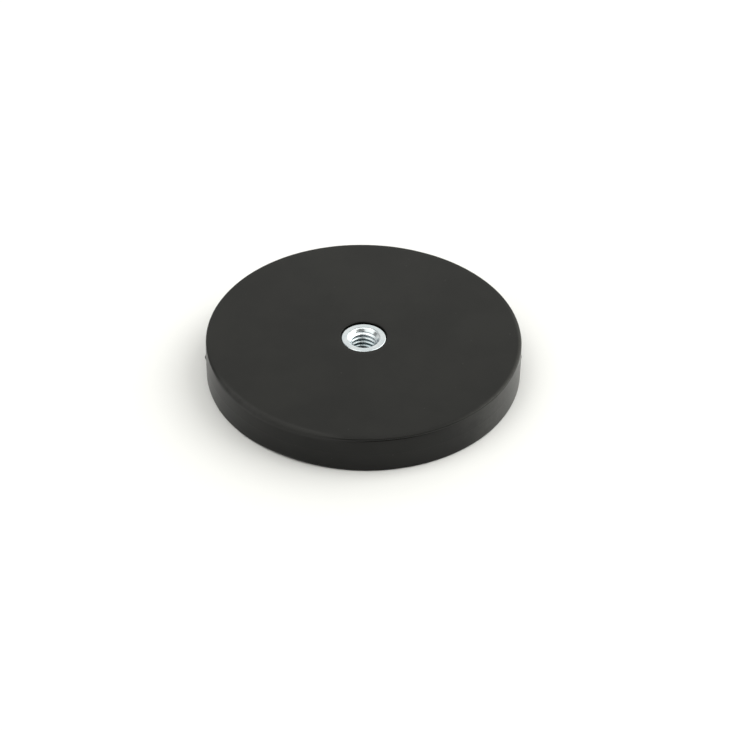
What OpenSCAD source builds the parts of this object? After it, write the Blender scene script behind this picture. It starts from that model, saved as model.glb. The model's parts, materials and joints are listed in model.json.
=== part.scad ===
// Rubber coated disc magnet with a threaded bush in its middle.
// A steel plate carries a ring of small neodymium discs and the bush, and a
// rubber jacket is moulded over all of it.
// All sizes are in millimetres. The holding face lies on z = 0, and the
// thread runs up the Z axis to the mouth in the top face.

/* [Rubber jacket] */
// Diameter of the jacket at its mould parting line
jacket_d = 66; // [66:1:80]
// Height from the holding face to the top face
jacket_h = 8.5; // [8:0.5:12]
// Rubber between the magnets and the holding face
skin_t = 0.8; // [0.6:0.1:1.2]
// Rounding of the edge around the top face
top_edge_r = 0.5; // [0.2:0.1:0.8]
// Rounding of the edge around the holding face
foot_edge_r = 0.5; // [0.2:0.1:0.8]
// Height of the mould parting line
parting_z = 4.4; // [3:0.1:5]
// Slope of the side wall away from the parting line, in degrees
wall_draft = 0.6; // [0:0.1:2]

/* [Steel plate] */
// Diameter of the steel plate inside the rubber
plate_d = 60; // [60:0.5:62]
// Thickness of the steel plate
plate_t = 3; // [2.5:0.1:3.5]
// Chamfer around both rims of the plate
plate_chamfer = 0.3; // [0.1:0.1:0.5]
// How many holes let the rubber flow through the plate
flow_hole_count = 6; // [3:1:8]
// Diameter of each flow hole
flow_hole_d = 4; // [2:0.5:5]
// Diameter of the circle that the flow holes stand on
flow_hole_pcd = 26; // [22:1:28]

/* [Magnets] */
// How many magnets stand in the ring
magnet_count = 12; // [6:2:12]
// Diameter of one magnet
magnet_d = 10; // [8:0.5:10]
// Thickness of one magnet
magnet_t = 3; // [2:0.5:3]
// Diameter of the circle that the magnets stand on
magnet_pcd = 47; // [46:0.5:47]
// Depth of each magnet's pocket in the plate
pocket_depth = 0.3; // [0.2:0.1:0.6]
// How much wider a pocket is than its magnet
pocket_clearance = 0.4; // [0.2:0.1:0.6]
// Thickness of the adhesive over a magnet
glue_t = 0.1; // [0.05:0.05:0.15]

/* [Threaded bush] */
// Diameter of the part of the bush that shows in the top face
bush_d = 9.3; // [8.5:0.1:11]
// Depth of the bush's rim below the top face
rim_setback = 0.05; // [0.05:0.05:0.3]
// Rounding of the bush's outer edge
rim_edge_r = 0.2; // [0.1:0.05:0.3]
// Diameter of the thread's core hole, for an M6 x 1 thread
core_d = 5; // [4.2:0.1:5]
// Diameter of the countersink at the thread's mouth
countersink_d = 6.8; // [6:0.1:7.2]
// Rounding between the rim and the countersink
countersink_r = 0.6; // [0.2:0.1:0.8]
// Diameter of the flange under the plate
flange_d = 14; // [13:0.5:16]
// Thickness of the flange
flange_t = 1.5; // [1:0.1:1.6]
// How many teeth the knurl has
knurl_teeth = 36; // [24:2:48]
// Depth of the knurl's teeth
knurl_depth = 0.3; // [0.2:0.05:0.4]
// Gap between the bush and the rubber around its mouth
mouth_gap = 0.2; // [0.05:0.05:0.3]
// Depth of that gap below the top face
mouth_depth = 0.6; // [0.6:0.05:0.9]
// Width of the sloping lip that the rubber has around the mouth
lip_w = 0.3; // [0.3:0.05:1.2]
// Depth of that lip at the mouth
lip_t = 0.2; // [0.2:0.05:0.5]

/* [Hidden] */
// The levels of the stack, from the holding face up
magnet_top_z = skin_t + magnet_t;
pocket_top_z = magnet_top_z + glue_t;
plate_z = pocket_top_z - pocket_depth;
flange_z = plate_z - flange_t;
rim_z = jacket_h - rim_setback;

// The magnet's edges are cut back to the rim of its pocket
magnet_chamfer = pocket_depth - glue_t;
pocket_d = magnet_d + pocket_clearance;
// The knurl's teeth are a little wider than the neck that passes through first
knurl_r = bush_d / 2 + 0.1 + knurl_depth;
flange_chamfer = 0.2;
thread_chamfer = 0.3;

// Steps along a rounded edge, and faces around a turned shape
arc_steps = 6;
$fn = 180;

// Name of the piece at place i in the ring, such as magnet_03.
function numbered(name, i) = str(name, "_", i < 10 ? "0" : "", i);

// Points along an arc about [r, z], from one angle to the other.
function arc(centre, radius, from, to, steps = arc_steps) = [
    for (i = [0:steps])
        let (a = from + (to - from) * i / steps)
        centre + radius * [cos(a), sin(a)]
];

// Outline of the whole jacket, with the cavity still filled.
// The wall leans in above and below the parting line, so that the
// halves of the mould come away.
module jacket_outline() {
    wall_r = jacket_d / 2;
    foot_in = (parting_z - foot_edge_r) * tan(wall_draft);
    top_in = (jacket_h - top_edge_r - parting_z) * tan(wall_draft);
    polygon(concat(
        [[0, 0]],
        arc([wall_r - foot_in - foot_edge_r, foot_edge_r], foot_edge_r, -90, 0),
        [[wall_r, parting_z]],
        arc([wall_r - top_in - top_edge_r, jacket_h - top_edge_r], top_edge_r, 0, 90),
        [[0, jacket_h]]
    ));
}

// Space around the bush's mouth, with a lip that slopes down to it.
module mouth_outline() {
    mouth_r = bush_d / 2 + mouth_gap;
    polygon([
        [0, jacket_h - mouth_depth], [mouth_r, jacket_h - mouth_depth],
        [mouth_r, jacket_h - lip_t], [mouth_r + lip_w, jacket_h],
        [mouth_r + lip_w, jacket_h + 1], [0, jacket_h + 1]
    ]);
}

// Half section of the flange with its outer edges chamfered.
module flange_outline() {
    r = flange_d / 2;
    c = flange_chamfer;
    polygon([
        [0, flange_z], [r - c, flange_z], [r, flange_z + c],
        [r, plate_z - c], [r - c, plate_z], [0, plate_z]
    ]);
}

// Half section of the neck, from the plate up to the rim.
module neck_outline() {
    r = bush_d / 2;
    polygon(concat(
        [[0, plate_z], [r, plate_z]],
        arc([r - rim_edge_r, rim_z - rim_edge_r], rim_edge_r, 0, 90),
        [[0, rim_z]]
    ));
}

// Half section of the hole through the bush: a chamfer at the far end, the
// thread's core, and a wide countersink that rounds over into the rim.
module thread_hole_outline() {
    core_r = core_d / 2;
    sink_r = countersink_d / 2;
    sink_z = rim_z - (sink_r - core_r);
    // The rounding touches the rim this far outside the sharp corner
    touch = countersink_r * tan(22.5);
    polygon(concat(
        [[0, flange_z - 1], [core_r + thread_chamfer, flange_z - 1]],
        [[core_r + thread_chamfer, flange_z], [core_r, flange_z + thread_chamfer]],
        [[core_r, sink_z]],
        arc([sink_r + touch, rim_z - countersink_r], countersink_r, 135, 90),
        [[sink_r + touch, rim_z + 1], [0, rim_z + 1]]
    ));
}

// Toothed outline of the knurl, which the hole in the plate shares.
module knurl_outline() {
    root_r = knurl_r - knurl_depth;
    polygon([
        for (i = [0:2 * knurl_teeth - 1])
            let (a = i * 180 / knurl_teeth, r = i % 2 == 0 ? knurl_r : root_r)
            [r * cos(a), r * sin(a)]
    ]);
}

// The knurled band, as tall as the plate, or longer at both ends to cut with.
module knurl(longer = 0) {
    translate([0, 0, plate_z - longer])
        linear_extrude(plate_t + 2 * longer) knurl_outline();
}

// The bush with no hole through it.
module bush_blank() {
    rotate_extrude() flange_outline();
    knurl();
    rotate_extrude() neck_outline();
}

// A disc with both rims chamfered, standing on z = 0.
module chamfered_disc(d, t, chamfer) {
    rotate_extrude()
        polygon([
            [0, 0], [d / 2 - chamfer, 0], [d / 2, chamfer],
            [d / 2, t - chamfer], [d / 2 - chamfer, t], [0, t]
        ]);
}

// Sets its children at place i in the ring of magnets.
module at_magnet(i) {
    rotate([0, 0, (i - 0.5) * 360 / magnet_count])
        translate([magnet_pcd / 2, 0, 0])
        children();
}

// One magnet at its own place.
module magnet_body(i) {
    at_magnet(i)
        translate([0, 0, skin_t])
        chamfered_disc(magnet_d, magnet_t, magnet_chamfer);
}

// The shallow pocket over one magnet, or longer below to cut with.
module pocket(i, longer = 0) {
    at_magnet(i)
        translate([0, 0, plate_z - longer])
        cylinder(d = pocket_d, h = pocket_depth + longer);
}

// The holes that the rubber flows through to grip the plate.
module flow_holes() {
    for (i = [0:flow_hole_count - 1])
        rotate([0, 0, i * 360 / flow_hole_count])
            translate([flow_hole_pcd / 2, 0, plate_z - 1])
            cylinder(d = flow_hole_d, h = plate_t + 2);
}

// The plate with its flow holes, before the pockets and the bush's hole.
module plate_blank() {
    difference() {
        translate([0, 0, plate_z]) chamfered_disc(plate_d, plate_t, plate_chamfer);
        flow_holes();
    }
}

// Moulded rubber all round, which grips everything inside face to face.
module rubber_jacket() {
    color("dimgray")
        difference() {
            rotate_extrude() jacket_outline();
            plate_blank();
            bush_blank();
            for (i = [1:magnet_count]) magnet_body(i);
            rotate_extrude() mouth_outline();
        }
}

// Steel plate that carries the magnets and closes their circuit.
module steel_plate() {
    color("slategray")
        difference() {
            plate_blank();
            knurl(longer = 1);
            for (i = [1:magnet_count]) pocket(i, longer = 1);
        }
}

// Threaded bush, pressed up through the plate.
module threaded_bush() {
    color("lightsteelblue")
        difference() {
            bush_blank();
            rotate_extrude() thread_hole_outline();
        }
}

// Adhesive that holds one magnet: a film over it and a ring squeezed out
// around it, which fill its pocket.
module adhesive(i) {
    color("goldenrod")
        difference() {
            pocket(i);
            magnet_body(i);
        }
}

// One nickel plated magnet. Neighbours face down with opposite poles.
module magnet(i) {
    color(i % 2 == 0 ? "silver" : "gainsboro") magnet_body(i);
}

rubber_jacket();
steel_plate();
threaded_bush();
for (i = [1:magnet_count]) {
    magnet(i);
    adhesive(i);
}
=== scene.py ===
"""Looks for a rubber coated disc magnet with a threaded steel bush.

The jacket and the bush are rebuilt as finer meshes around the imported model:
the jacket with its moulded edges and parting line, the bush with its thread.
Lengths are in metres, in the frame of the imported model. The holding face is
at z = 0 and the thread runs up the Z axis. Angles round the disc start at the
right, so that 90 degrees is the back and 270 the front.
"""

import json
import math

import bmesh
import bpy
import numpy as np
from mathutils import Matrix, Vector


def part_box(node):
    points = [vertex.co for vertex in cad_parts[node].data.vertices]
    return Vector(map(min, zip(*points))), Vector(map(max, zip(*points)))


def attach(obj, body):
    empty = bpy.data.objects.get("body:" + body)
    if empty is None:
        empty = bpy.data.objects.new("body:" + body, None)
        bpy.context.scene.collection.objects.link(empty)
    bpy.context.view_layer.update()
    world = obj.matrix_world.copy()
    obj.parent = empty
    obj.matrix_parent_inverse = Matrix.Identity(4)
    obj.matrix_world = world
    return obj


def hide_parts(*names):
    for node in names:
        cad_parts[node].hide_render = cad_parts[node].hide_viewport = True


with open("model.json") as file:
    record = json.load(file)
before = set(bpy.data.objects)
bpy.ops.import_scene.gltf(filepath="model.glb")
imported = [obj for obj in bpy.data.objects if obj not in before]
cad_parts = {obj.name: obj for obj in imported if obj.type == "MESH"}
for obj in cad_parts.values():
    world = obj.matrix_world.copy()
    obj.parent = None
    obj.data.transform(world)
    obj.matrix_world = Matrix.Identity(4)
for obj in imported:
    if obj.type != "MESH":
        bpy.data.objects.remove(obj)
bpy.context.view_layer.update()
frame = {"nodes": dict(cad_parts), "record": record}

MM = 0.001
TURN = 2 * math.pi

# ---------------------------------------------------------------- sizes

jacket_low, jacket_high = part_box("rubber_jacket")
bush_low, bush_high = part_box("threaded_bush")
plate_low, plate_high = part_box("steel_plate")
mounts = {mount["name"]: mount for mount in frame["record"]["mounts"]}
magnet_nodes = sorted(name for name in frame["nodes"] if name.startswith("magnet_"))
adhesive_nodes = sorted(name for name in frame["nodes"] if name.startswith("adhesive_"))

JACKET_R = (jacket_high.x - jacket_low.x) / 2
JACKET_H = jacket_high.z
PARTING_Z = 4.4 * MM
WALL_DRAFT = math.radians(0.6)
FOOT_EDGE_R = 0.5 * MM
TOP_EDGE_R = 0.5 * MM
# How many points stand in a ring round the jacket
JACKET_AROUND = 512

# The mould's parting line, and how far its two halves are out of line
SEAM_HEIGHT = 0.004 * MM
SEAM_WIDTH = 0.14 * MM
MOULD_SHIFT = 0.004 * MM
MOULD_SHIFTED_TO = math.radians(250)
# Where the two trimmed gate stubs stand on the parting line, and how far out
GATES = ((math.radians(183.7), 0.26 * MM), (math.radians(-1.0), 0.16 * MM))
GATE_WIDTH = 0.55 * MM
# How far the wall and the top face are from true
WALL_WAVE = 0.02 * MM
TOP_SWELL = 0.006 * MM
# How deep the rubber has sunk over each magnet
SINK_DEPTH = 0.03 * MM

# Marks round the jacket: the angle of each one's middle. The worn and scuffed edge and the
# wall at the right also carry painted sheen.
WORN_SHEEN_EDGE = math.radians(232)
SCUFFED_SHEEN_EDGE = math.radians(220)
WORN_FOOT = math.radians(244)
SHEEN_PAINTED_WALL = math.radians(345)
CREASED_EDGE = math.radians(280)
NICKED_MOUTH = math.radians(234)
# The crease: how deep it is, how far under the rounded edge, and how wide
CREASE_DEPTH = 0.13 * MM
CREASE_LEVEL = 0.28 * MM
CREASE_WIDTH = 0.12 * MM

# The rubber's mouth sits a little off the bush, so the gap is widest at one side
MOUTH_DEPTH = 0.6 * MM
LEAST_GAP = 0.04 * MM
ADDED_GAP = 0.62 * MM
WIDEST_GAP_AT = math.radians(91)
GAP_FALL_OFF = 1.8
NICK_DEPTH = 0.1 * MM
# The rounding of the rubber's lip, at the narrow and at the wide side of the gap
LIP_R = (0.08 * MM, 0.2 * MM)

RIM_Z = bush_high.z
NECK_R = 4.65 * MM
RIM_EDGE_R = 0.2 * MM
FLANGE_R = (bush_high.x - bush_low.x) / 2
FLANGE_CHAMFER = 0.2 * MM
KNURL_TEETH = 36
# How many points of a ring round the bush fall on one tooth
KNURL_STEPS = 8
KNURL_TIP_R = NECK_R + 0.4 * MM
KNURL_ROOT_R = NECK_R + 0.1 * MM

CORE_R = mounts["thread"]["dims"]["r_mm"] * MM
THREAD_PITCH = 1.0 * MM
THREAD_MAJOR_R = 3.0 * MM
FLANK_HALF_ANGLE = math.radians(30)
# The rounding of the crests, as a share of the pitch
CREST_ROUNDING = 0.17
THREAD_START = 0.42 * MM
THREAD_END_CHAMFER = 0.3 * MM
# How many points of the thread's wall stand along one pitch
THREAD_STEPS = 36
# How far the helix is carried up into the countersink
THREAD_RUN_OUT = 0.56 * MM
COUNTERSINK_R = 3.4 * MM
COUNTERSINK_ROUNDING = 0.6 * MM


# ---------------------------------------------------------------- mesh tools

def wander(angles, seed, waves, first_wave=1):
    """A smooth closed curve of about -1 to 1 round the disc, from a few waves."""
    rng = np.random.default_rng(seed)
    total = np.zeros_like(angles)
    for wave in range(first_wave, first_wave + waves):
        total += rng.normal() * np.cos(wave * angles + rng.uniform(0, TURN))
    return total / math.sqrt(waves)


def bump_at(angles, centre, width):
    """A bell shaped hump of height 1 round one angle, its width in radians."""
    away = (angles - centre + math.pi) % TURN - math.pi
    return np.exp(-((away / width) ** 2))


def smooth_step(value, start, end):
    """0 before start and 1 after end, with an even slope in between."""
    share = np.clip((value - start) / (end - start), 0, 1)
    return share * share * (3 - 2 * share)


class Rings:
    """Rings of points round the Z axis that become one skin of quads."""

    def __init__(self, around):
        self.angles = np.arange(around) * TURN / around
        self.rings = []

    def add(self, radius, height):
        """One more ring. Its radius and height may vary from point to point."""
        shape = self.angles.shape
        self.rings.append((np.broadcast_to(radius, shape), np.broadcast_to(height, shape)))

    def arc(self, centre_r, centre_z, radius, start, end, steps):
        """Rings along a quarter round or the like, angles in degrees from +R to +Z."""
        for step in range(steps + 1):
            angle = math.radians(start + (end - start) * step / steps)
            self.add(centre_r + radius * math.cos(angle), centre_z + radius * math.sin(angle))

    def skin(self, bm):
        """Makes the skin in a bmesh and returns its rows of vertices."""
        rows = []
        for radius, height in self.rings:
            x, y = radius * np.cos(self.angles), radius * np.sin(self.angles)
            rows.append([bm.verts.new(point) for point in zip(x, y, height)])
        count = len(self.angles)
        for below, above in zip(rows, rows[1:]):
            for i in range(count):
                k = (i + 1) % count
                bm.faces.new((below[i], below[k], above[k], above[i]))
        return rows


def cap(bm, row, height):
    """Closes a row with a fan to one point on the axis."""
    middle = bm.verts.new((0, 0, height))
    for i, vert in enumerate(row):
        after = row[(i + 1) % len(row)]
        bm.faces.new((middle, after, vert))


def finish_piece(bm, name, sharp_degrees):
    """Turns a bmesh into a smooth shaded object with its sharp edges marked."""
    bmesh.ops.recalc_face_normals(bm, faces=bm.faces)
    limit = math.radians(sharp_degrees)
    for face in bm.faces:
        face.smooth = True
    for edge in bm.edges:
        edge.smooth = edge.is_manifold and edge.calc_face_angle(0) < limit
    mesh = bpy.data.meshes.new(name)
    bm.to_mesh(mesh)
    bm.free()
    piece = bpy.data.objects.new(name, mesh)
    bpy.context.scene.collection.objects.link(piece)
    return piece


# ---------------------------------------------------------------- jacket

def wall_radius(angles, z):
    """Radius of the side wall at one height, with its draft, seam and gate stubs."""
    lean = abs(z - PARTING_Z) * math.tan(WALL_DRAFT)
    upper_half = smooth_step(z, PARTING_Z - 0.02 * MM, PARTING_Z + 0.02 * MM)
    shift = MOULD_SHIFT * np.cos(angles - MOULD_SHIFTED_TO) * (upper_half - 0.5)
    wave = WALL_WAVE * wander(angles, 3, 5)
    across = math.exp(-(((z - PARTING_Z) / SEAM_WIDTH) ** 2))
    seam = SEAM_HEIGHT * across * (1 + 0.5 * wander(angles, 5, 30, 12))
    radius = JACKET_R - lean + shift + wave + seam
    for place, height in GATES:
        tall = math.exp(-(((z - PARTING_Z) / (0.7 * GATE_WIDTH)) ** 2))
        radius = radius + height * tall * bump_at(angles, place, GATE_WIDTH / JACKET_R)
    return radius


def holding_face_height(angles, radius):
    """Height of the underside, where the rubber has sunk a little over each magnet."""
    x, y = radius * np.cos(angles), radius * np.sin(angles)
    height = np.zeros_like(angles)
    for node in magnet_nodes:
        low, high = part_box(node)
        centre, reach = (low + high) / 2, (high.x - low.x) / 2
        away = np.hypot(x - centre.x, y - centre.y)
        height += SINK_DEPTH * (1 - smooth_step(away, reach - 0.9 * MM, reach + 0.3 * MM))
    return height


def add_holding_face(rings):
    """The underside and the rounded edge around it."""
    angles = rings.angles
    for radius in np.linspace(1.0 * MM, JACKET_R - 1.4 * MM, 60):
        rings.add(radius, holding_face_height(angles, radius))
    worn = bump_at(angles, WORN_FOOT, 0.3)
    edge = FOOT_EDGE_R * (0.85 + 0.08 * wander(angles, 11, 24, 3) + 0.9 * worn)
    wall = wall_radius(angles, FOOT_EDGE_R)
    rings.arc(wall - edge, edge, edge, -90, 0, 8)


def add_side_wall(rings):
    """The wall, with its rings closest together at the parting line."""
    low_wall = np.linspace(2.4 * FOOT_EDGE_R, PARTING_Z - 0.75 * MM, 8)
    seam = PARTING_Z + np.linspace(-0.6, 0.6, 31) * MM
    high_wall = np.linspace(PARTING_Z + 0.75 * MM, JACKET_H - 1.7 * MM, 8)
    for z in (*low_wall, *seam, *high_wall):
        rings.add(wall_radius(rings.angles, z), z)


def add_top_edge(rings):
    """The edge round the top face, worn at the front left, creased at the front right."""
    angles = rings.angles
    worn = bump_at(angles, WORN_SHEEN_EDGE, 0.5)
    creased = bump_at(angles, CREASED_EDGE, 0.27)
    unevenness = 0.07 * wander(angles, 12, 20, 2)
    edge = TOP_EDGE_R * (0.6 + 1.25 * worn - 0.25 * creased + unevenness)
    wall = wall_radius(angles, JACKET_H - TOP_EDGE_R)
    for below_edge in np.linspace(0.48, 0.03, 16) * MM:
        pinch = math.exp(-(((below_edge - CREASE_LEVEL) / CREASE_WIDTH) ** 2))
        rings.add(wall - CREASE_DEPTH * creased * pinch, JACKET_H - edge - below_edge)
    rings.arc(wall - edge, JACKET_H - edge, edge, 0, 90, 9)


def add_top_face(rings):
    """The top face, the lip of the rubber's mouth and the floor of the gap in it."""
    angles = rings.angles
    offset = ((1 + np.cos(angles - WIDEST_GAP_AT)) / 2) ** GAP_FALL_OFF
    ragged = 0.03 * MM * wander(angles, 31, 9, 2)
    nick = NICK_DEPTH * bump_at(angles, NICKED_MOUTH, 0.3)
    mouth_r = NECK_R + LEAST_GAP + (ADDED_GAP + ragged) * offset + nick
    lip_r = LIP_R[0] + (LIP_R[1] - LIP_R[0]) * offset
    for radius in np.linspace(JACKET_R - 1.2 * MM, mouth_r.max() + 0.6 * MM, 28):
        swell = TOP_SWELL * wander(angles, 21, 4) * math.sin(math.pi * radius / JACKET_R)
        rings.add(radius, JACKET_H + swell)
    rings.arc(mouth_r + lip_r, JACKET_H - lip_r, lip_r, 90, 180, 8)
    rings.add(mouth_r, JACKET_H - MOUTH_DEPTH)
    rings.add(NECK_R, JACKET_H - MOUTH_DEPTH)


def add_jacket_skin(bm):
    """The outside of the jacket, open only where it meets the bush's neck."""
    rings = Rings(JACKET_AROUND)
    add_holding_face(rings)
    add_side_wall(rings)
    add_top_edge(rings)
    add_top_face(rings)
    rows = rings.skin(bm)
    cap(bm, rows[0], holding_face_height(np.zeros(1), 0.0)[0])


def add_cavity(bm):
    """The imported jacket's cavity, without its outside, so open at the bush's neck too."""
    first_vert, first_face = len(bm.verts), len(bm.faces)
    bm.from_mesh(frame["nodes"]["rubber_jacket"].data)
    bm.verts.ensure_lookup_table()
    bmesh.ops.remove_doubles(bm, verts=bm.verts[first_vert:], dist=0.5e-6)
    bm.faces.ensure_lookup_table()
    mouth_floor = JACKET_H - MOUTH_DEPTH - 0.01 * MM
    skin_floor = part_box(magnet_nodes[0])[0].z - 0.05 * MM

    def outside(vert):
        return (vert.co.xy.length > JACKET_R - 1 * MM or vert.co.z < skin_floor
                or vert.co.z > mouth_floor)

    faces = [face for face in bm.faces[first_face:] if all(map(outside, face.verts))]
    bmesh.ops.delete(bm, geom=faces, context="FACES")


def rubber_jacket():
    """The moulded jacket: a finer outside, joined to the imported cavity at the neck."""
    bm = bmesh.new()
    add_jacket_skin(bm)
    add_cavity(bm)
    open_edges = [edge for edge in bm.edges if edge.is_boundary]
    bmesh.ops.bridge_loops(bm, edges=open_edges)
    piece = finish_piece(bm, "moulded_jacket", 35)
    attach(piece, "root")
    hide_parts("rubber_jacket")
    return piece


# ---------------------------------------------------------------- bush

def thread_radius(phase):
    """Radius of the thread's wall. The phase is in pitches, with a crest at each half."""
    from_crest = np.abs(phase % 1.0 - 0.5)
    rounded = np.hypot(from_crest, CREST_ROUNDING) - CREST_ROUNDING
    flank = rounded * THREAD_PITCH / math.tan(FLANK_HALF_ANGLE)
    return np.minimum(CORE_R + flank, THREAD_MAJOR_R)


def thread_wall(bm, around, bottom_z, top_z, sink_z):
    """The helical wall. Its rows climb with the thread, so crests stay crisp."""
    turns = math.ceil((top_z - bottom_z) / THREAD_PITCH) + 1
    columns = []
    for k in range(around + 1):
        share = k / around
        pitches = np.arange(turns * THREAD_STEPS + 1) / THREAD_STEPS + share - 1
        z = np.clip(bottom_z + THREAD_PITCH * pitches, bottom_z, top_z)
        radius = thread_radius((z - THREAD_START) / THREAD_PITCH - share)
        # The countersink and the chamfer at the far end cut the thread away
        radius = np.maximum(radius, CORE_R + (z - sink_z))
        radius = np.maximum(radius, CORE_R + (bottom_z + THREAD_END_CHAMFER - z))
        radius = np.where(z >= top_z, CORE_R + (top_z - sink_z), radius)
        radius = np.where(z <= bottom_z, CORE_R + THREAD_END_CHAMFER, radius)
        x, y = radius * math.cos(share * TURN), radius * math.sin(share * TURN)
        columns.append([bm.verts.new(point) for point in zip(x, y, z)])
    for left, right in zip(columns, columns[1:]):
        for j in range(len(left) - 1):
            bm.faces.new((left[j], left[j + 1], right[j + 1], right[j]))


def threaded_bush():
    """The bush: the thread's wall, and a turned and knurled outside."""
    around = KNURL_STEPS * KNURL_TEETH
    sink_z = RIM_Z - (COUNTERSINK_R - CORE_R)
    thread_top_z = sink_z + THREAD_RUN_OUT
    # The rounding touches the rim this far outside the sharp corner
    touch = COUNTERSINK_ROUNDING * math.tan(math.radians(22.5))
    rim_inner_r = COUNTERSINK_R + touch
    half_tooth = KNURL_STEPS / 2
    tooth = np.abs(np.arange(around) % KNURL_STEPS - half_tooth) / half_tooth
    knurl = KNURL_ROOT_R + (KNURL_TIP_R - KNURL_ROOT_R) * tooth

    bm = bmesh.new()
    thread_wall(bm, around, bush_low.z, thread_top_z, sink_z)
    rings = Rings(around)
    rings.add(CORE_R + (thread_top_z - sink_z), thread_top_z)
    rings.arc(rim_inner_r, RIM_Z - COUNTERSINK_ROUNDING, COUNTERSINK_ROUNDING, 135, 90, 10)
    for radius in np.linspace(rim_inner_r + 0.1 * MM, NECK_R - RIM_EDGE_R - 0.03 * MM, 5):
        rings.add(radius, RIM_Z)
    rings.arc(NECK_R - RIM_EDGE_R, RIM_Z - RIM_EDGE_R, RIM_EDGE_R, 90, 0, 8)
    rings.add(NECK_R, plate_high.z)
    rings.add(knurl, plate_high.z)
    rings.add(knurl, plate_low.z)
    rings.add(FLANGE_R - FLANGE_CHAMFER, plate_low.z)
    rings.add(FLANGE_R, plate_low.z - FLANGE_CHAMFER)
    rings.add(FLANGE_R, bush_low.z + FLANGE_CHAMFER)
    rings.add(FLANGE_R - FLANGE_CHAMFER, bush_low.z)
    rings.add(CORE_R + THREAD_END_CHAMFER, bush_low.z)
    rings.skin(bm)
    bmesh.ops.remove_doubles(bm, verts=bm.verts, dist=0.2e-6)
    bmesh.ops.dissolve_degenerate(bm, edges=bm.edges, dist=0.1e-6)
    piece = finish_piece(bm, "turned_bush", 25)
    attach(piece, "root")
    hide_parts("threaded_bush")
    return piece


# ---------------------------------------------------------------- materials

class Val:
    """A node socket that can be used in Python arithmetic."""

    def __init__(self, recipe, socket):
        self.recipe, self.socket = recipe, socket

    def _math(self, operation, *values):
        return self.recipe.node("ShaderNodeMath", {"operation": operation},
                                dict(enumerate(values)))

    def __add__(self, other):
        return self._math("ADD", self, other)

    def __sub__(self, other):
        return self._math("SUBTRACT", self, other)

    def __rsub__(self, other):
        return self._math("SUBTRACT", other, self)

    def __mul__(self, other):
        return self._math("MULTIPLY", self, other)

    def __truediv__(self, other):
        return self._math("DIVIDE", self, other)

    def __pow__(self, other):
        return self._math("POWER", self, other)

    __radd__, __rmul__ = __add__, __mul__

    def step(self, start, end):
        """0 before start and 1 after end, smooth in between."""
        return self.recipe.node(
            "ShaderNodeMapRange", {"interpolation_type": "SMOOTHSTEP"},
            {"Value": self, "From Min": start, "From Max": end})


class Recipe:
    """One procedural material, written as expressions on node sockets."""

    def __init__(self, name, **constants):
        self.material = bpy.data.materials.new(name)
        self.material.use_nodes = True
        self.tree = self.material.node_tree
        self.shader = self.tree.nodes["Principled BSDF"]
        for socket, value in constants.items():
            self.shader.inputs[socket.replace("_", " ")].default_value = value

    def node(self, kind, settings=None, values=None, out=0):
        """Adds a node: its settings first, then values or links by socket."""
        made = self.tree.nodes.new(kind)
        for key, value in (settings or {}).items():
            setattr(made, key, value)
        for key, value in (values or {}).items():
            if isinstance(value, Val):
                self.tree.links.new(value.socket, made.inputs[key])
            else:
                made.inputs[key].default_value = value
        return Val(self, made.outputs[out])

    def place(self):
        """Where a point is on the object, in metres."""
        return self.node("ShaderNodeTexCoord", out="Object")

    def parts(self, vector):
        """The X, Y and Z of a vector."""
        split = self.node("ShaderNodeSeparateXYZ", values={0: vector})
        return [Val(self, out) for out in split.socket.node.outputs]

    def vector(self, x, y, z):
        """A vector from its X, Y and Z."""
        return self.node("ShaderNodeCombineXYZ", values={0: x, 1: y, 2: z})

    def noise(self, vector, per_mm, detail, roughness=0.55):
        """Soft noise from 0 to 1 with so many features to the millimetre."""
        return self.node("ShaderNodeTexNoise", values={
            "Vector": vector, "Scale": per_mm / MM, "Detail": detail,
            "Roughness": roughness})

    def cells(self, vector, per_mm):
        """Distance to the nearest of scattered points, in cell widths."""
        return self.node("ShaderNodeTexVoronoi", {"feature": "F1"},
                         {"Vector": vector, "Scale": per_mm / MM})

    def mix(self, share, first, second):
        """A colour between two colours."""
        first, second = (colour if isinstance(colour, Val) else (*colour, 1.0)
                         for colour in (first, second))
        return self.node("ShaderNodeMix", {"data_type": "RGBA"},
                         {0: share, 6: first, 7: second}, out=2)

    def bump(self, height, distance, strength):
        """A normal from a height in units of distance."""
        return self.node("ShaderNodeBump", values={
            "Height": height, "Distance": distance, "Strength": strength})

    def feed(self, **sockets):
        """Links what varies over the surface into the shader."""
        for name, value in sockets.items():
            self.tree.links.new(value.socket, self.shader.inputs[name.replace("_", " ")])
        return self.material


def from_axis(x, y):
    """How far a point is from the Z axis."""
    return (x * x + y * y) ** 0.5


BLACK_RUBBER = ((0.0045, 0.0045, 0.0040), (0.0075, 0.0075, 0.0066))
LINT = (0.12, 0.12, 0.11)
# Lighter rubber for the worn and scuffed edge: wear, and painted sheen standing in for the
# edge's highlight
WORN_SHEEN_RUBBER = (0.021, 0.021, 0.020)
SCUFFED_SHEEN_RUBBER = (0.032, 0.032, 0.032)
# Lighter rubber painted on the lit wall at the right as painted sheen
WALL_SHEEN_PAINT = (0.056, 0.056, 0.052)


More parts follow.
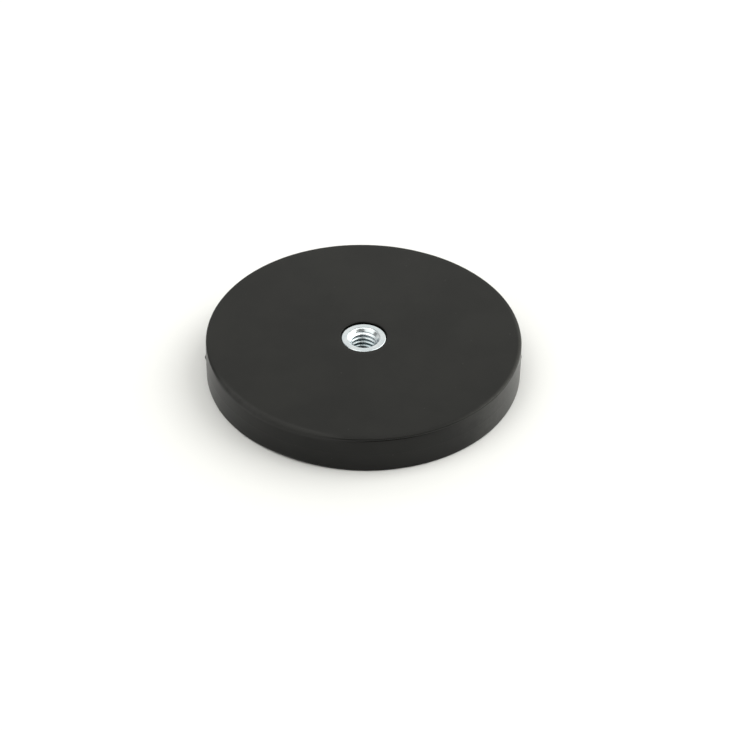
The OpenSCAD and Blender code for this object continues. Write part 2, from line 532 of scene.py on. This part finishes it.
def black_rubber():
    """Matte moulded rubber with a fine grain and lint specks, a worn and scuffed edge
    lightened partly by painted sheen, and painted sheen on the wall at the right.
    """
    r = Recipe("moulded_rubber", Specular_IOR_Level=0.2)
    place = r.place()
    x, y, z = r.parts(place)
    cloud = r.noise(place, 0.08, 3.0)
    fine = r.noise(place, 4.0, 4.0, 0.6)
    colour = r.mix(cloud.step(0.3, 0.7), *BLACK_RUBBER)
    lint = 1 - r.cells(place, 0.35).step(0.02, 0.05)
    colour = r.mix(lint * 0.25, colour, LINT)

    # The top edge is where height and radius together are greatest
    corner = JACKET_H + JACKET_R
    radius = from_axis(x, y)
    on_edge = (z + radius).step(corner - 1.5 * MM, corner - 0.5 * MM)
    on_wall = radius.step(JACKET_R - 1.0 * MM, JACKET_R - 0.3 * MM)

    def share_facing(angle, start, end, unevenness=0.0):
        """How much of a point lies towards an angle, from 0 to 1 between two cosines."""
        towards = (x * math.cos(angle) + y * math.sin(angle)) / JACKET_R
        return (towards + unevenness * (cloud - 0.5)).step(start, end)

    # The worn stretch of the edge is painted lighter, partly the dull grey of wear and partly
    # painted sheen along the edge. One end of it is scuffed and painted lighter still, as
    # scuffs and painted highlight.
    worn_sheen = on_edge * share_facing(WORN_SHEEN_EDGE, 0.82, 0.95)
    scratched = r.noise(place, 0.5, 4.0, 0.6).step(0.25, 0.6)
    scuffs_and_sheen = on_edge * share_facing(SCUFFED_SHEEN_EDGE, 0.95, 0.99) * scratched
    colour = r.mix(worn_sheen, colour, WORN_SHEEN_RUBBER)
    colour = r.mix(scuffs_and_sheen * 0.6, colour, SCUFFED_SHEEN_RUBBER)

    # Painted sheen: the wall at the right, the side facing the light, is painted lighter,
    # mottled and with an uneven border, standing in for its reflection of the lit floor
    mottle = 0.65 + 0.8 * r.noise(place, 1.4, 5.0, 0.75).step(0.25, 0.75)
    painted_wall_sheen = on_wall * share_facing(SHEEN_PAINTED_WALL, 0.74, 0.99, 0.3) * mottle
    colour = r.mix(painted_wall_sheen * 0.5, colour, WALL_SHEEN_PAINT)

    roughness = 0.24 + 0.06 * cloud + 0.06 * fine + 0.35 * worn_sheen
    pebble = r.noise(place, 1.6, 2.0)
    grain = r.bump(fine + 1.5 * pebble, 0.004 * MM, 0.5)
    return r.feed(Base_Color=colour, Roughness=roughness, Normal=grain)


BLUISH_ZINC = ((0.60, 0.655, 0.69), (0.69, 0.72, 0.745))
# Dark teal for grime and painted shade in the thread
THREAD_GRIME_AND_SHADE = (0.08, 0.22, 0.24)


def zinc_plating():
    """Bright zinc over turned steel, duller down in the thread, where grime and painted shade
    darken it deeper in the hole and in the grooves.
    """
    r = Recipe("zinc_plating", Metallic=1.0)
    place = r.place()
    x, y, z = r.parts(place)
    radius = from_axis(x, y)
    cloud = r.noise(place, 0.6, 3.0)
    rings = r.noise(r.vector(radius, z, 0.0), 9.0, 2.0)
    # Grime and painted shade: darker and tealer deeper down the hole and in the thread's
    # grooves
    deep = 1 - z.step(RIM_Z - 4.5 * MM, RIM_Z - 0.6 * MM)
    root = radius.step(CORE_R, CORE_R + 0.45 * MM)
    grime_and_shade = deep * (0.20 + 0.40 * root)
    colour = r.mix(cloud.step(0.35, 0.7), *BLUISH_ZINC)
    colour = r.mix(grime_and_shade, colour, THREAD_GRIME_AND_SHADE)
    threaded = 1 - z.step(RIM_Z - 1.2 * MM, RIM_Z - 0.8 * MM)
    roughness = 0.13 + 0.12 * cloud + 0.16 * threaded
    turned = r.bump(rings, 0.004 * MM, 0.6)
    return r.feed(Base_Color=colour, Roughness=roughness, Normal=turned)


MILD_STEEL = ((0.34, 0.34, 0.35), (0.46, 0.45, 0.43))
RUST = (0.20, 0.09, 0.04)


def plate_steel():
    """Turned mild steel under a film of oil, with a little rust."""
    r = Recipe("oiled_steel", Metallic=1.0)
    place = r.place()
    x, y = r.parts(place)[:2]
    cloud = r.noise(place, 0.12, 4.0)
    rings = r.noise(r.vector(from_axis(x, y), 0.0, 0.0), 8.0, 3.0)
    rust = r.noise(place, 0.5, 6.0, 0.7).step(0.62, 0.72)
    colour = r.mix(cloud, *MILD_STEEL)
    colour = r.mix(rust * 0.5, colour, RUST)
    roughness = 0.32 + 0.2 * cloud + 0.25 * rust
    turned = r.bump(rings, 0.006 * MM, 0.8)
    return r.feed(Base_Color=colour, Roughness=roughness, Normal=turned)


WARM_NICKEL = (0.62, 0.60, 0.55)
NORTH_NICKEL = (0.70, 0.69, 0.66)
SOUTH_NICKEL = (0.66, 0.66, 0.65)


def nickel_plating(name, tint):
    """Bright nickel with fine pits and a cloudy tint."""
    r = Recipe(name, Metallic=1.0)
    place = r.place()
    cloud = r.noise(place, 0.5, 3.0)
    pits = r.cells(place, 2.5).step(0.05, 0.2)
    colour = r.mix(cloud, tint, WARM_NICKEL)
    roughness = 0.14 + 0.14 * cloud
    pitted = r.bump(pits, 0.005 * MM, 0.5)
    return r.feed(Base_Color=colour, Roughness=roughness, Normal=pitted)


AMBER_EPOXY = ((0.55, 0.40, 0.20), (0.68, 0.55, 0.34))
EPOXY_BUBBLES = (0.80, 0.72, 0.55)


def cured_epoxy():
    """Amber epoxy, cloudy with small bubbles."""
    r = Recipe("cured_epoxy", Coat_Weight=0.3, Coat_Roughness=0.1)
    place = r.place()
    cloud = r.noise(place, 0.8, 3.0)
    bubbles = 1 - r.cells(place, 3.0).step(0.1, 0.25)
    colour = r.mix(cloud, *AMBER_EPOXY)
    colour = r.mix(bubbles * 0.5, colour, EPOXY_BUBBLES)
    roughness = 0.3 + 0.15 * cloud
    blistered = r.bump(bubbles, 0.01 * MM, 0.6)
    return r.feed(Base_Color=colour, Roughness=roughness, Normal=blistered)


PALE_FLOOR = ((0.80, 0.80, 0.80), (0.81, 0.81, 0.81))


def white_sweep():
    """The plain pale surface of the floor."""
    r = Recipe("white_sweep", Specular_IOR_Level=0.2)
    cloud = r.noise(r.place(), 0.01, 2.0)
    colour = r.mix(cloud, *PALE_FLOOR)
    return r.feed(Base_Color=colour, Roughness=0.8 + 0.1 * cloud)


def dress(piece, material):
    """Gives a piece its one material."""
    piece.data.materials.clear()
    piece.data.materials.append(material)


# ---------------------------------------------------------------- studio

WHITE_LIGHT = (1.0, 1.0, 0.955)
# The floor lies a hair above the holding face, so that the face shows from below
FLOOR_Z = 0.05 * MM
FLOOR_REACH = 1.5

CAMERA_DISTANCE = 579.6 * MM
CAMERA_ELEVATION = math.radians(38.09)
CAMERA_LEAN = math.radians(0.765)
# Where the camera aims, from the middle of the top face
CAMERA_AIM = Vector((0.319, -9.202, 0)) * MM
LENS_MM = 136.95
SENSOR_MM = 36.0

# Each one's azimuth and elevation in degrees, distance, width and power in watts
SOFTBOXES = {
    "overhead": (200, 87, 1.2, 0.9, 4.4),
    "right": (82, 48, 1.2, 1.0, 7.8),
    "front_left": (234, 50, 1.2, 1.2, 5.3),
    "top_left": (285, 58, 1.2, 0.7, 1.3),
    "back_left": (312, 28, 1.3, 1.0, 1.0),
    "back_right": (50, 24, 1.3, 1.0, 5.8),
    "back": (0, 28, 1.3, 1.0, 2.6),
}
# How the room's brightness falls from the horizon up, by the sine of the elevation
ROOM_FALL = {"From Min": 0.02, "From Max": 0.5, "To Min": 0.8, "To Max": 0.25}


def floor():
    """A plain pale floor, which isn't part of the object."""
    bm = bmesh.new()
    bmesh.ops.create_grid(bm, x_segments=8, y_segments=8, size=FLOOR_REACH)
    bmesh.ops.translate(bm, verts=bm.verts, vec=(0, 0, FLOOR_Z))
    piece = finish_piece(bm, "floor", 30)
    dress(piece, white_sweep())


def camera():
    """The camera aims a little in front of the disc's middle and leans slightly."""
    top = Vector((0, 0, JACKET_H))
    out = Vector((0, -math.cos(CAMERA_ELEVATION), math.sin(CAMERA_ELEVATION)))
    data = bpy.data.cameras.new("camera")
    data.sensor_width = SENSOR_MM
    data.lens = LENS_MM
    data.clip_start, data.clip_end = 0.01, 20
    eye = bpy.data.objects.new("camera", data)
    bpy.context.scene.collection.objects.link(eye)
    eye.location = top + out * CAMERA_DISTANCE
    look = (top + CAMERA_AIM - eye.location).to_track_quat("-Z", "Y").to_matrix()
    eye.rotation_euler = (look @ Matrix.Rotation(CAMERA_LEAN, 3, "Z")).to_euler()
    bpy.context.scene.camera = eye


def softbox(name, azimuth, elevation, distance, width, power):
    """A square light that faces the object. Azimuth 0 is behind it, 90 on its right."""
    data = bpy.data.lights.new(name, "AREA")
    data.shape = "SQUARE"
    data.size, data.energy, data.color = width, power, WHITE_LIGHT
    light = bpy.data.objects.new(name, data)
    bpy.context.scene.collection.objects.link(light)
    a, e = math.radians(azimuth), math.radians(elevation)
    out = Vector((math.sin(a) * math.cos(e), math.cos(a) * math.cos(e), math.sin(e)))
    light.location = out * distance
    light.rotation_euler = (-out).to_track_quat("-Z", "Y").to_euler()


def studio():
    """A white room that is brightest along the horizon, and the softboxes in it."""
    world = bpy.data.worlds.new("white_room")
    world.use_nodes = True
    nodes, links = world.node_tree.nodes, world.node_tree.links
    direction = nodes.new("ShaderNodeTexCoord")
    height = nodes.new("ShaderNodeSeparateXYZ")
    fall = nodes.new("ShaderNodeMapRange")
    fall.interpolation_type = "SMOOTHSTEP"
    for socket, value in ROOM_FALL.items():
        fall.inputs[socket].default_value = value
    links.new(direction.outputs["Generated"], height.inputs[0])
    links.new(height.outputs["Z"], fall.inputs["Value"])
    links.new(fall.outputs[0], nodes["Background"].inputs["Strength"])
    nodes["Background"].inputs["Color"].default_value = (*WHITE_LIGHT, 1.0)
    bpy.context.scene.world = world
    for name, settings in SOFTBOXES.items():
        softbox(name, *settings)
    view = bpy.context.scene.view_settings
    view.view_transform = "Standard"
    view.look = "None"


# ---------------------------------------------------------------- assembly

camera()
dress(rubber_jacket(), black_rubber())
dress(threaded_bush(), zinc_plating())
dress(frame["nodes"]["steel_plate"], plate_steel())
for node in adhesive_nodes:
    dress(frame["nodes"][node], cured_epoxy())
poles = (nickel_plating("nickel_north", NORTH_NICKEL),
         nickel_plating("nickel_south", SOUTH_NICKEL))
for place, node in enumerate(magnet_nodes):
    dress(frame["nodes"][node], poles[place % 2])
floor()
studio()
